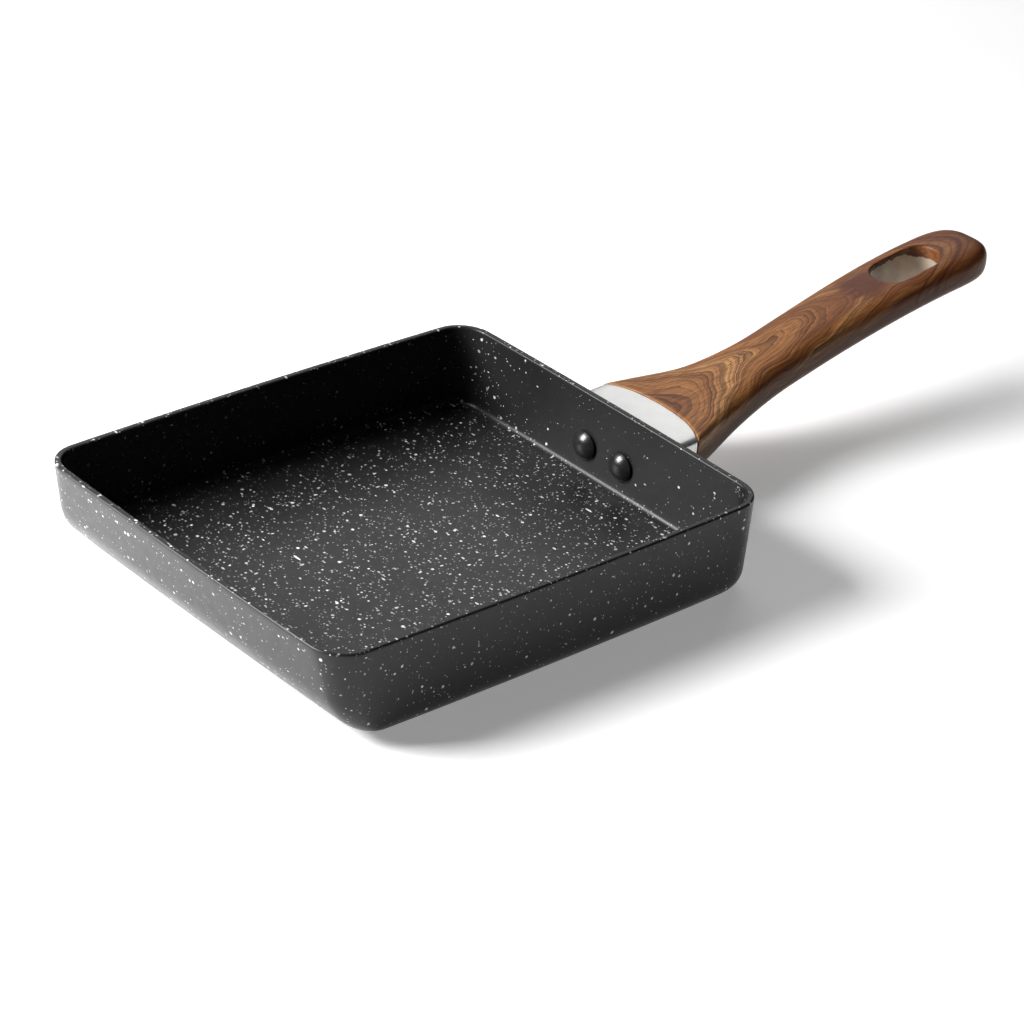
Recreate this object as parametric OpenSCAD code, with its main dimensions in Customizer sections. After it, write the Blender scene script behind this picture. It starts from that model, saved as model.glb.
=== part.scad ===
// Rolled-omelette pan: a coated aluminium body, a riveted steel bracket, a metal sleeve and a
// moulded wood-look grip. Millimetres, +Z up. The origin is the middle of the flat underside,
// and the handle runs out along +X.

/* [Pan body] */
// Length of the rim at its corners, along the handle's direction
pan_l = 180; // [150:1:220]
// Width of the rim at its corners
pan_w = 150; // [120:1:180]
// Height from the table to the rim
pan_h = 34.5; // [31:0.5:40]
// Thickness of the walls
wall_t = 2.5; // [1.8:0.1:3.2]
// Thickness of the floor
floor_t = 4.5; // [3:0.1:5.5]
// Plan radius of the rim's corners
corner_r = 12; // [10:0.5:20]
// Plan radius of the two front corners at the table
front_base_r = 6; // [5:0.5:12]
// Plan radius of the two corners at the handle end, at the table
back_base_r = 13.5; // [10:0.5:16]
// Outside radius from wall to underside on the two sides and at the handle end
side_r = 7; // [5:0.5:9]
// Outside radius from wall to underside at the front, where the roll is turned
front_r = 17; // [10:1:22]
// Inside radius from wall to floor on the two sides and at the handle end
inner_r = 2.5; // [1.5:0.5:5]
// How far the side walls and the handle wall lean out from table to rim
side_draft = 0.3; // [0:0.1:1]
// How far the front wall leans out from table to rim
front_draft = 8.4; // [0:0.1:10]
// Outward bow in the middle of each long side
side_bow = 1.3; // [0:0.1:3]
// Outward bow in the middle of the front and of the handle wall
end_bow = 0.8; // [0:0.1:3]
// Rounding of the two edges of the rim
rim_round = 0.8; // [0.3:0.1:0.9]

/* [Rivets] */
// Distance between the two rivets
rivet_pitch = 18; // [17:0.5:24]
// Height of the rivets above the table
rivet_z = 15.2; // [14.5:0.1:16.5]
// Radius of a rivet's shank
rivet_r = 2.5; // [2:0.1:3]
// Radius of the domed head inside the pan
rivet_head_r = 5.3; // [4:0.1:6.5]
// Height of the domed head, its foot included
rivet_head_h = 3.4; // [2:0.1:4.5]
// Height of the head's straight foot below its dome
rivet_foot_h = 0.7; // [0.3:0.1:1.5]
// Radius of the tail that is formed behind the bracket
rivet_tail_r = 3.8; // [3:0.1:4.2]
// Height of that tail
rivet_tail_h = 1.5; // [1:0.1:2]
// Radial clearance of the shank in its holes
rivet_gap = 0.1; // [0.05:0.05:0.3]

/* [Bracket] */
// Thickness of the plate that is riveted to the wall
plate_t = 2; // [1.5:0.1:3]
// Width of that plate
plate_w = 34; // [32:1:38]
// Height of that plate
plate_h = 10; // [9:0.5:11]
// Width of the tang that runs into the grip
tang_w = 9; // [7:0.5:10]
// Thickness of the tang
tang_t = 5; // [4:0.5:6]
// How far the tang reaches into the grip past the joint
tang_reach = 43; // [35:1:55]
// Height of the tang's middle above the rivets, where it leaves the plate
tang_up = 2.5; // [2:0.5:3]
// Rise of the tang over its length
tang_rise = 9.5; // [7:0.5:10]

/* [Sleeve] */
// Half the width of the sleeve
ferrule_hw = 24.3; // [22:0.1:28]
// Length of the sleeve's sides, from the pan to the joint
ferrule_l = 17; // [12:0.5:24]
// How much further the curved joint reaches in the middle than at the sides
ferrule_nose = 6; // [3:0.5:8]
// Wall of the sleeve
ferrule_t = 2; // [1.4:0.1:2.2]
// Extra depth of the sleeve's belly at the pan
ferrule_drop = 2; // [1.5:0.5:3.5]
// Thickness of the web that closes the sleeve at the joint
ferrule_web = 3; // [2:0.5:4]
// Clearance of the sleeve, the bracket and the rivets from the pan, and of the joint
seat_gap = 0.1; // [0.05:0.05:0.3]

/* [Grip] */
// Length of the grip's upper side, from the joint to the tip
grip_l = 159.5; // [145:0.5:200]
// Distance from the joint to the neck
neck_l = 58; // [48:1:70]
// Distance from the joint to the widest part of the palm
palm_l = 130; // [115:1:135]
// Length of the rounded tip
tip_l = 21.5; // [18:0.5:28]
// Half the width of the neck
neck_hw = 12.1; // [11:0.1:16]
// Half the width of the palm
palm_hw = 13.8; // [13:0.1:19]
// How far the grip stands proud of the sleeve
grip_proud = 0.3; // [0:0.1:0.8]
// Height of the handle's middle at the joint
joint_z = 19.7; // [19:0.1:21]
// Distance from the joint to the steepest part of the handle
rise_l = 62; // [50:1:75]
// Height gained from the joint to the steepest part
rise_h = 11.5; // [8:0.5:16]
// Slope of the steepest part
rise_slope = 0.26; // [0.15:0.01:0.35]
// Height gained from the joint to the tip
tip_h = 27.5; // [20:0.5:36]
// Height of the section above its middle, at the joint
joint_up = 7.5; // [7:0.1:9]
// Height of the section above its middle, at the neck
neck_up = 7; // [6.5:0.1:8.5]
// Height of the section above its middle, at the palm
palm_up = 6.9; // [5.5:0.1:8]
// Depth of the section below its middle, at the joint
joint_down = 10.2; // [9.5:0.1:11]
// Depth of the section below its middle, at the neck
neck_down = 8.5; // [7:0.1:9]
// Depth of the section below its middle, at the palm
palm_down = 6.9; // [5.5:0.1:8]

/* [Hanging hole] */
// Distance from the grip's tip to the middle of the hole
hole_inset = 36.3; // [30:0.1:50]
// Radius of the hole's ends
hole_r = 7.4; // [5:0.1:8.5]
// Distance between the centres of the hole's ends
hole_pitch = 14.4; // [8:0.1:20]
// Chamfer round both mouths of the hole
hole_chamfer = 0.7; // [0.5:0.1:2]

/* [Handle screw] */
// Distance from the joint to the screw
screw_l = 21; // [18:1:26]
// Radius of the screw's shank
screw_r = 2.5; // [2:0.1:3]
// Radius of the screw's head
screw_head_r = 4.4; // [3.8:0.1:5.3]
// Height of the screw's head
screw_head_h = 2.4; // [2:0.1:3]
// Radius of the flat washer
washer_r = 4.8; // [4.4:0.1:5.8]
// Thickness of the flat washer
washer_t = 0.8; // [0.6:0.1:1]
// Thickness of the split spring washer
spring_t = 1.2; // [1:0.1:1.5]
// Gap of the spring washer's split
spring_split = 0.6; // [0.4:0.1:1]
// Plastic left between the flat washer's seat and the tang
seat_t = 1.8; // [1.5:0.1:2]
// Clearance of the screw, its washers and the tang in the grip
screw_gap = 0.15; // [0.1:0.05:0.3]

/* [Hidden] */
$fn = 64;

corner_steps = 8;           // segments in a quarter corner of the pan
side_steps = 10;            // segments along a side of the pan
fillet_steps = 6;           // levels in the radius at the sides
front_steps = 5;            // levels from there up to the top of the front's wider radius
wall_steps = 3;             // levels from there up to the rim
rim_angles = [30, 60, 90];  // levels of the rim's rounding
section_steps = 48;         // points round a section of the handle
grip_steps = 24;            // sections from the joint to the rounded tip
tip_steps = 9;              // sections of the rounded tip
joint_fn = 128;             // fineness of the joint's wide arc
through = 100;              // cuts right through any piece

boxy_l = 30;                // how far the section takes to turn from boxy to oval
upper_power = [9, 3.2];     // superellipse powers of the upper half, boxy and oval
lower_power = [3.5, 2.5];   // the same for the lower half
joint_slope = 0.06;         // slope of the handle's middle at the joint
tip_slope = 0.03;           // and at the tip
joint_taper = -0.3;         // how fast the half width falls behind the joint

half_l = pan_l / 2;
half_w = pan_w / 2;

// Inset of a wall at height z: its lean, and the bottom radius r that turns it in
function lean(z, draft) = draft * (1 - z / pan_h);
function fillet(z, r) = z < r ? r - sqrt(r * r - (r - z) * (r - z)) : 0;

// Place of the handle wall's outer and inner faces at y and z
function outer_face(y, z) =
    half_l - lean(z, side_draft) - fillet(z, side_r) + end_bow * (1 - pow(y / half_w, 2));
function inner_face(y, z) =
    outer_face(y, pan_h) - lean(z, side_draft) - wall_t - fillet(z - floor_t, inner_r);

plate_x = outer_face(0, joint_z + joint_up) + seat_gap;  // front of the plate and the sleeve
tang_x = plate_x + plate_t;                              // back of the plate
head_x = inner_face(rivet_pitch / 2 + rivet_head_r, rivet_z - rivet_head_r) - seat_gap;
tail_x = tang_x + seat_gap;

joint_x = plate_x + ferrule_l;                           // the joint at its sides
joint_r = (ferrule_hw * ferrule_hw + ferrule_nose * ferrule_nose) / (2 * ferrule_nose);
joint_c = joint_x + ferrule_nose - joint_r;              // middle of the joint's arc
neck_x = joint_x + neck_l;
palm_x = joint_x + palm_l;
rise_x = joint_x + rise_l;
tip_x = joint_x + grip_l;
tip_start = tip_x - tip_l;
hole_x = tip_x - hole_inset;
screw_x = joint_x + screw_l;

tang_z = rivet_z + tang_up;
tang_end = joint_x + tang_reach;
tang_tilt = atan(tang_rise / (tang_end - tang_x));
tang_under = tang_z + (screw_x - tang_x) * tan(tang_tilt) - tang_t / 2 / cos(tang_tilt);
washer_z = tang_under - seat_t - washer_t;               // underside of the flat washer
spring_z = washer_z - spring_t;                          // underside of the spring washer
head_z = spring_z - screw_head_h;                        // underside of the screw's head
screw_end = tang_under + tang_t - screw_r * tan(tang_tilt);  // top of the screw, in the tang

// Smooth curve at x from p to q, each [place, value, slope]
function blend(x, p, q) =
    let (l = q[0] - p[0], t = min(1, max(0, (x - p[0]) / l)), s = t * t * (3 - 2 * t))
    p[1] * (1 - s) + q[1] * s + l * t * (1 - t) * (p[2] * (1 - t) - q[2] * t);

function flip(v) = [for (i = [len(v) - 1 : -1 : 0]) v[i]];

// Closed solid over a list of rings, each with as many points
module skin(rings) {
    n = len(rings[0]);
    top = (len(rings) - 1) * n;
    around = [for (i = [0 : n : top - n], j = [0 : n - 1]) [i + j, i + (j + 1) % n]];
    polyhedron(
        points = [for (r = rings) each r],
        faces = concat(
            [[for (j = [0 : n - 1]) j]],
            [[for (j = [n - 1 : -1 : 0]) top + j]],
            [for (e = around) [e[0], e[0] + n, e[1] + n]],
            [for (e = around) [e[0], e[1] + n, e[1]]]),
        convexity = 6);
}

// Cylinder along +X from x, at y and z
module rod(x, y, z, r, l) {
    translate([x, y, z]) rotate([0, 90, 0]) cylinder(r = r, h = l);
}

// An outline of the pan, anticlockwise from above: quarter corners of radius rb at the back and
// rf at the front, joined by sides, inset by side, front and back, and then bowed outward
function quarter(cx, cy, r, a) =
    [for (i = [0 : corner_steps]) let (b = a + 90 * i / corner_steps)
        [cx + r * cos(b), cy + r * sin(b)]];
function between(p, q) = [for (i = [1 : side_steps - 1]) p + (q - p) * i / side_steps];
function bowed(p) =
    let (u = p.x / half_l, v = p.y / half_w)
    [p.x + sign(u) * end_bow * max(0, 1 - v * v) * min(1, u * u),
     p.y + sign(v) * side_bow * max(0, 1 - u * u) * min(1, v * v)];
function outline(side, front, back, rf, rb) =
    let (x0 = front - half_l + rf, x1 = half_l - back - rb, y = half_w - side,
         q = [quarter(x1, y - rb, rb, 0), quarter(x0, y - rf, rf, 90),
              quarter(x0, rf - y, rf, 180), quarter(x1, rb - y, rb, 270)])
    [for (k = [0 : 3]) each concat(q[k], between(q[k][corner_steps], q[(k + 1) % 4][0]))];

// That outline as a ring at height z, at depth t behind the outer face. rise is 0 outside, and
// the floor's height inside, where the radii turn into the floor
function corner(z, base_r) = corner_r + (base_r - corner_r) * (1 - z / pan_h);
function ring(z, t, rise) =
    let (side = t + lean(z, side_draft) + fillet(z - rise, rise > 0 ? inner_r : side_r),
         front = t + lean(z, front_draft) + fillet(z - rise, front_r - t),
         rf = max(2, corner(z, front_base_r) - t), rb = corner(z, back_base_r) - t)
    [for (p = outline(side, front, side, rf, rb)) let (b = bowed(p)) [b.x, b.y, z]];
function raised(points, z) = [for (p = points) [p.x, p.y, z]];

// Heights of the rings from a floor, up the sides' radius r and on up the front's radius, to the
// start of the rim
function steps(z0, z1, n) = [for (i = [1 : n]) z0 + (z1 - z0) * i / n];
function levels(rise, r, wide) =
    concat([for (i = [0 : fillet_steps]) rise + r * (1 - cos(90 * i / fillet_steps))],
           steps(rise + r, rise + wide, front_steps),
           steps(rise + wide, pan_h - rim_round, wall_steps));

// A ring of the rim's rounding at angle a, where t gives its depth behind the outer face
function rim_ring(a, t) =
    raised(ring(pan_h - rim_round, t, 0), pan_h - rim_round * (1 - sin(a)));
function rim_inset(a) = rim_round * (1 - cos(a));

// The pressed body: outer wall, rounded rim, inner wall and floor in one skin, with its
// underside cut flat and the rivet holes drilled through the handle wall
module pan_body() {
    outer = [for (z = levels(0, side_r, front_r)) ring(z, 0, 0)];
    rim = concat([for (a = rim_angles) rim_ring(a, rim_inset(a))],
                 [for (a = flip(rim_angles)) rim_ring(a, wall_t - rim_inset(a))]);
    inner = flip([for (z = levels(floor_t, inner_r, front_r - wall_t))
                      ring(z, wall_t, floor_t)]);
    color("#2c2c2e") difference() {
        skin(concat([raised(outer[0], -1)], outer, rim, inner));
        translate([-pan_l, -pan_w, -2]) cube([2 * pan_l, 2 * pan_w, 2]);
        for (side = [-1, 1])
            rod(head_x - wall_t, side * rivet_pitch / 2, rivet_z, rivet_r + rivet_gap, 3 * wall_t);
    }
}

// A rivet: domed head inside the pan, shank through wall and plate, tail formed behind
module rivet(side) {
    dome_h = rivet_head_h - rivet_foot_h;
    dome_r = (rivet_head_r * rivet_head_r + dome_h * dome_h) / (2 * dome_h);
    color("#1d1d1f") translate([head_x, side * rivet_pitch / 2, rivet_z]) {
        rotate([0, -90, 0]) rotate_extrude() intersection() {
            square([rivet_head_r, rivet_head_h]);
            translate([0, rivet_head_h - dome_r]) circle(r = dome_r);
        }
        rotate([0, 90, 0]) cylinder(r = rivet_r, h = tail_x - head_x);
        translate([tail_x - head_x, 0, 0]) rotate([0, 90, 0])
            cylinder(r = rivet_tail_r, h = rivet_tail_h);
    }
}
module rivet_left() { rivet(1); }
module rivet_right() { rivet(-1); }

// The riveted plate with the tang that carries the grip, and the tapped hole for its screw
module bracket() {
    end_r = plate_h / 2;
    color("#9a9ca0") difference() {
        union() {
            for (side = [-1, 1]) rod(plate_x, side * (plate_w / 2 - end_r), rivet_z, end_r, plate_t);
            translate([plate_x, end_r - plate_w / 2, rivet_z - end_r])
                cube([plate_t, plate_w - plate_h, plate_h]);
            translate([tang_x, 0, tang_z]) rotate([0, -tang_tilt, 0])
                translate([-plate_t / 2, -tang_w / 2, -tang_t / 2])
                    cube([plate_t / 2 + (tang_end - tang_x) / cos(tang_tilt), tang_w, tang_t]);
        }
        for (side = [-1, 1])
            rod(plate_x - 1, side * rivet_pitch / 2, rivet_z, rivet_r + rivet_gap, plate_t + 2);
        translate([screw_x, 0, 0]) cylinder(r = screw_r + rivet_gap, h = through);
    }
}

// Space for the tang from the plate out to x, with its clearance
module tang_slot(x) {
    translate([tang_x, 0, tang_z]) rotate([0, -tang_tilt, 0])
        translate([0, -tang_w / 2 - screw_gap, -tang_t / 2 - screw_gap])
            cube([(x - tang_x) / cos(tang_tilt), tang_w + 2 * screw_gap, tang_t + 2 * screw_gap]);
}

// Height of the handle's middle line, and its slope
function spine(x) =
    x < joint_x ? joint_z + joint_slope * (x - joint_x)
    : x < rise_x ? blend(x, [joint_x, joint_z, joint_slope], [rise_x, joint_z + rise_h, rise_slope])
    : blend(x, [rise_x, joint_z + rise_h, rise_slope], [tip_x, joint_z + tip_h, tip_slope]);
function spine_slope(x) = (spine(x + 1) - spine(x - 1)) / 2;

// A measure of the section at x, from its values at the joint, the neck and the palm
function along(x, joint, neck, palm, taper) =
    x < neck_x ? blend(x, [joint_x, joint, taper], [neck_x, neck, 0])
    : blend(x, [neck_x, neck, 0], [palm_x, palm, 0]);
function power(x, p) = blend(x, [joint_x, p[0], 0], [joint_x + boxy_l, p[1], 0]);

// How the rounded tip closes: 1 up to where it starts, and 0 at its end
function closing(x, p) =
    x < tip_start ? 1 : sqrt(max(0, 1 - pow((x - tip_start) / tip_l, p)));

// The handle's section at x, grown by g: boxy at the joint, oval along the grip
function section(x, g) =
    let (w = (along(x, ferrule_hw, neck_hw, palm_hw, joint_taper) + g) * closing(x, 3.3),
         belly = ferrule_drop * max(0, joint_x - x) / ferrule_l,
         up = (along(x, joint_up, neck_up, palm_up, 0) + g) * closing(x, 7),
         down = (along(x, joint_down, neck_down, palm_down, 0) + belly + g) * closing(x, 9))
    [for (i = [0 : section_steps - 1])
        let (a = 360 * (i + 0.5) / section_steps, h = a < 180 ? up : -down,
             n = 2 / power(x, a < 180 ? upper_power : lower_power))
        [x, w * sign(cos(a)) * pow(abs(cos(a)), n), spine(x) + h * pow(abs(sin(a)), n)]];

// Upright cylinder whose side is the curved joint, moved back by d
module joint_arc(d) {
    translate([joint_c, 0, -through]) cylinder(r = joint_r + d, h = 3 * through, $fn = joint_fn);
}

// The sleeve: a shell that is deep against the pan, closed by a web at the curved joint
module ferrule() {
    ends = [joint_x, joint_x + ferrule_nose];
    color("#d9dad8") difference() {
        intersection() {
            skin([for (x = concat(plate_x, ends)) section(x, 0)]);
            joint_arc(0);
        }
        intersection() {
            skin([for (x = concat(plate_x - 1, ends)) section(x, -ferrule_t)]);
            joint_arc(-ferrule_web);
        }
        tang_slot(joint_x + 2 * ferrule_nose);
    }
}

// The moulded grip: a swept section with the joint's hollow, the tang's socket, the screw's
// counterbored hole and the hanging hole
module handle_grip() {
    body = [for (i = [0 : grip_steps]) joint_x + (tip_start - joint_x) * i / grip_steps];
    tip = [for (i = [1 : tip_steps]) tip_start + tip_l * sin(89.5 * i / tip_steps)];
    color("#8f5a2e") difference() {
        skin([for (x = concat(joint_x - 1, body, tip)) section(x, grip_proud)]);
        joint_arc(seat_gap);
        tang_slot(tang_end + 2 * screw_gap);
        translate([screw_x, 0, 0]) {
            cylinder(r = screw_r + screw_gap, h = tang_under + 1);
            cylinder(r = washer_r + screw_gap, h = washer_z + washer_t);
        }
        hanging_hole();
    }
}

// The oblong hanging hole, square to the grip, with a chamfer at both mouths
module hanging_hole() {
    translate([hole_x, 0, spine(hole_x)]) rotate([0, -atan(spine_slope(hole_x)), 0]) {
        linear_extrude(through, center = true) {
            for (e = [-1, 1]) translate([e * hole_pitch / 2, 0]) circle(r = hole_r);
            square([hole_pitch, 2 * hole_r], center = true);
        }
        hole_mouth(palm_up + grip_proud);
        mirror([0, 0, 1]) hole_mouth(palm_down + grip_proud);
    }
}
module hole_mouth(face) {
    reach = 3 * hole_chamfer;
    translate([0, 0, face - hole_chamfer]) {
        for (e = [-1, 1]) translate([e * hole_pitch / 2, 0, 0])
            cylinder(r1 = hole_r, r2 = hole_r + reach, h = reach);
        rotate([90, 0, 90]) linear_extrude(hole_pitch, center = true)
            polygon([[-hole_r, 0], [hole_r, 0], [hole_r + reach, reach], [-hole_r - reach, reach]]);
    }
}

// Pan-head screw with a cross recess, fitted from below
module handle_screw() {
    edge_h = 0.4 * screw_head_h;
    slot = [screw_head_r, 0.2 * screw_head_r, 0.55 * screw_head_h];
    color("#b9bbbe") translate([screw_x, 0, head_z]) difference() {
        union() {
            cylinder(r1 = screw_head_r - edge_h, r2 = screw_head_r, h = edge_h);
            translate([0, 0, edge_h]) cylinder(r = screw_head_r, h = screw_head_h - edge_h);
            cylinder(r = screw_r, h = screw_end - head_z);
        }
        for (a = [0, 90]) rotate([0, 0, a])
            translate([-slot.x / 2, -slot.y / 2, -slot.z]) cube([slot.x, slot.y, 2 * slot.z]);
    }
}

// A washer of radius r and thickness t on the screw, its underside at z
module washer(z, r, t) {
    translate([screw_x, 0, z]) difference() {
        cylinder(r = r, h = t);
        translate([0, 0, -t]) cylinder(r = screw_r + screw_gap, h = 3 * t);
    }
}
module spring_washer() {
    color("#8b8d90") difference() {
        washer(spring_z, screw_head_r, spring_t);
        translate([screw_x, -spring_split / 2, 0]) cube([through, spring_split, through]);
    }
}
module flat_washer() {
    color("#a9abad") washer(washer_z, washer_r, washer_t);
}

pan_body();
rivet_left();
rivet_right();
bracket();
ferrule();
handle_grip();
handle_screw();
spring_washer();
flat_washer();
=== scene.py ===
from math import atan, cos, pi, radians, sin, sqrt, tan

import bmesh
import bpy
from mathutils import Matrix, Vector


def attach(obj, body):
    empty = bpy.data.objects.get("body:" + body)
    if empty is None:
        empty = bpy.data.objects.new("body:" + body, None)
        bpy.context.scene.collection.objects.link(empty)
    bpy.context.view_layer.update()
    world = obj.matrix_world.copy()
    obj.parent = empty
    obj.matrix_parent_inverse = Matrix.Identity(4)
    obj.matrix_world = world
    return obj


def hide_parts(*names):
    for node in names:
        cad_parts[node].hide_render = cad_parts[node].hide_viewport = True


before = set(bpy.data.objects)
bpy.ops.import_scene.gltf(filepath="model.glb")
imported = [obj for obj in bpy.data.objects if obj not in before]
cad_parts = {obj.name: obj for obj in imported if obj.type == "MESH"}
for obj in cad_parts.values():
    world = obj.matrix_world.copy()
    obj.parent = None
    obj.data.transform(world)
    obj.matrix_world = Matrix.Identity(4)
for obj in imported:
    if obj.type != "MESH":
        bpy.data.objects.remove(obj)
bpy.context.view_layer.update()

# The pan body. One thick aluminium vessel, coated dark all over: the walls are drawn from the flat
# base up to the rounded rim and down again inside to the floor, and two rivet holes are drilled
# through the handle wall.
mm = 0.001
pan_length, pan_width, pan_height = 180.0, 150.0, 34.5
wall, floor = 2.5, 4.5
rim_corner, front_base_corner, back_base_corner = 12.0, 6.0, 13.5
side_radius, front_radius, inside_radius = 7.0, 17.0, 2.5
side_lean, front_lean = 0.3, 8.4
side_bow, end_bow = 1.3, 0.8
rim_round = 0.8
corner_cuts, side_cuts, radius_rows, wall_rows = 10, 14, 6, 4
crease_insets = (1.5, 2.0)


def start(name, add, **at):
    """A new primitive of that name, alone selected and in edit mode"""
    bpy.ops.object.select_all(action="DESELECT")
    add(**at)
    piece = bpy.context.object
    piece.name = piece.data.name = name
    bpy.ops.object.mode_set(mode="EDIT")
    return piece


def pick(piece, kind, test):
    """Selects the verts, edges or faces whose middle and normal, in millimetres, pass the test"""
    bpy.ops.mesh.select_mode(type=kind)
    bpy.ops.mesh.select_all(action="DESELECT")
    mesh = bmesh.from_edit_mesh(piece.data)
    mesh.normal_update()
    for part in {"VERT": mesh.verts, "EDGE": mesh.edges, "FACE": mesh.faces}[kind]:
        spots = [part.co] if kind == "VERT" else [vert.co for vert in part.verts]
        middle = sum(spots, Vector()) / len(spots) / mm
        if test(middle, Vector() if kind == "EDGE" else part.normal):
            part.select_set(True)
    mesh.select_flush_mode()
    bmesh.update_edit_mesh(piece.data)


def number_points(piece, layer, values):
    """Numbers the points of a fresh outline, so that every ring drawn from it keeps the numbers"""
    mesh = bmesh.from_edit_mesh(piece.data)
    numbers = mesh.verts.layers.int.new(layer)
    for vert, value in zip(mesh.verts, values):
        vert[numbers] = value
    bmesh.update_edit_mesh(piece.data)


def set_points(piece, layer, spot):
    """Moves each selected point to spot(its number), in millimetres"""
    mesh = bmesh.from_edit_mesh(piece.data)
    numbers = mesh.verts.layers.int[layer]
    for vert in mesh.verts:
        if vert.select:
            vert.co = Vector(spot(vert[numbers])) * mm
    bmesh.update_edit_mesh(piece.data)


def apply(piece, kind, **settings):
    """Adds a modifier with those settings to the piece and applies it"""
    bpy.ops.object.mode_set(mode="OBJECT")
    bpy.ops.object.select_all(action="DESELECT")
    piece.select_set(True)
    bpy.context.view_layer.objects.active = piece
    modifier = piece.modifiers.new("step", kind)
    for name, value in settings.items():
        setattr(modifier, name, value)
    bpy.ops.object.modifier_apply(modifier=modifier.name)


def cut(piece, cutter):
    """Cuts the cutter out of the piece and throws the cutter away"""
    apply(piece, "BOOLEAN", operation="DIFFERENCE", solver="EXACT", object=cutter)
    bpy.data.objects.remove(cutter)


def outward(piece):
    """Merges doubles and turns all faces outward"""
    bpy.ops.mesh.select_all(action="SELECT")
    bpy.ops.mesh.remove_doubles(threshold=0.0001 * mm)
    bpy.ops.mesh.normals_make_consistent(inside=False)


def smooth(piece, angle):
    """Smooth shading, except over edges sharper than the angle in degrees"""
    bpy.ops.object.mode_set(mode="OBJECT")
    bpy.ops.object.select_all(action="DESELECT")
    piece.select_set(True)
    bpy.context.view_layer.objects.active = piece
    bpy.ops.object.shade_smooth_by_angle(angle=radians(angle), keep_sharp_edges=False)


def lean(z, draft):
    """How far a wall that leans out leans in at height z, against its rim"""
    return draft * (1 - z / pan_height)


def turn_in(z, radius):
    """How far a bottom radius has turned a wall in at height z above its own floor"""
    return radius - sqrt(radius ** 2 - (radius - z) ** 2) if z < radius else 0.0


def corner_spot(x, y, radius, degree):
    """A point of the rounded corner at x, y, that many degrees round it"""
    return Vector((x - radius * (1 if x > 0 else -1) + radius * cos(radians(degree)),
                   y - radius * (1 if y > 0 else -1) + radius * sin(radians(degree))))


def pan_outline(side, front, back, front_corner, back_corner):
    """Outline of the pan seen from above, inset by those depths, then bowed outward"""
    front_x, back_x, side_y = front - pan_length / 2, pan_length / 2 - back, pan_width / 2 - side
    corners = [(back_x, side_y, back_corner, 0), (front_x, side_y, front_corner, 90),
               (front_x, -side_y, front_corner, 180), (back_x, -side_y, back_corner, 270)]
    points = []
    for (x, y, radius, start_angle), after in zip(corners, corners[1:] + corners[:1]):
        quarter = [corner_spot(x, y, radius, start_angle + 90 * i / corner_cuts)
                   for i in range(corner_cuts + 1)]
        there = corner_spot(*after)
        points += quarter + [quarter[-1].lerp(there, i / side_cuts) for i in range(1, side_cuts)]
    bowed = []
    for x, y in points:
        u, v = 2 * x / pan_length, 2 * y / pan_width
        bowed.append((x + end_bow * max(0, 1 - v * v) * min(1, u * u) * (1 if u > 0 else -1),
                      y + side_bow * max(0, 1 - u * u) * min(1, v * v) * (1 if v > 0 else -1)))
    return bowed


def pan_ring(z, depth, rise, height):
    """That outline at one height of the wall, at a depth behind its outer face"""
    side = depth + lean(z, side_lean) + turn_in(z - rise, inside_radius if rise else side_radius)
    front = depth + lean(z, front_lean) + turn_in(z - rise, front_radius - depth)
    slant = 1 - z / pan_height
    front_corner = rim_corner + (front_base_corner - rim_corner) * slant - depth
    back_corner = rim_corner + (back_base_corner - rim_corner) * slant - depth
    return [(x, y, height) for x, y in pan_outline(side, front, side, front_corner, back_corner)]


def wall_levels(rise, radius, wide):
    """Heights from a floor up its radius, up the front's wider radius, and up to the rim"""
    top = pan_height - rim_round
    heights = [rise + radius * (1 - cos(radians(90 * i / radius_rows))) for i in range(radius_rows + 1)]
    heights += [rise + radius + (wide - radius) * i / radius_rows for i in range(1, radius_rows + 1)]
    return heights + [rise + wide + (top - rise - wide) * i / wall_rows for i in range(1, wall_rows + 1)]


rings = [pan_ring(z, 0, 0, z) for z in wall_levels(0, side_radius, front_radius)]
rim_turns = [(rim_round * (1 - cos(radians(a))), rim_round * (1 - sin(radians(a)))) for a in (30, 60, 90)]
rings += [pan_ring(pan_height - rim_round, inset, 0, pan_height - drop) for inset, drop in rim_turns]
rings += [pan_ring(pan_height - rim_round, wall - inset, 0, pan_height - drop)
          for inset, drop in reversed(rim_turns)]
rings += [pan_ring(z, wall, floor, z)
          for z in reversed(wall_levels(floor, inside_radius, front_radius - wall))]

pan = start("pan", bpy.ops.mesh.primitive_circle_add, vertices=4 * (corner_cuts + side_cuts),
            radius=pan_width / 2 * mm, fill_type="NGON")
number_points(pan, "place", range(len(rings[0])))
bpy.ops.mesh.select_all(action="SELECT")
for level, ring in enumerate(rings):
    if level:
        bpy.ops.mesh.extrude_region_move()
    set_points(pan, "place", lambda number: ring[number])
for z in (0.0, floor):
    pick(pan, "FACE", lambda middle, normal: abs(middle.z - z) < 0.01 and abs(normal.z) > 0.99)
    for depth in crease_insets:
        bpy.ops.mesh.inset(thickness=depth * mm)
outward(pan)
apply(pan, "SUBSURF", levels=1, render_levels=1)

rivet_pitch, rivet_height, shank_radius, shank_gap, drill_length = 18.0, 15.2, 2.5, 0.1, 12
for side in (1, -1):
    drill = start("drill", bpy.ops.mesh.primitive_cylinder_add, vertices=48,
                  radius=(shank_radius + shank_gap) * mm, depth=drill_length * mm, rotation=(0, pi / 2, 0),
                  location=((pan_length / 2 - 1) * mm, side * rivet_pitch / 2 * mm, rivet_height * mm))
    bpy.ops.object.mode_set(mode="OBJECT")
    cut(pan, drill)
smooth(pan, 35)


def finish(name):
    """A new material with its node tree and its shader"""
    material = bpy.data.materials.new(name)
    material.use_nodes = True
    return material, material.node_tree, material.node_tree.nodes["Principled BSDF"]


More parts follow.
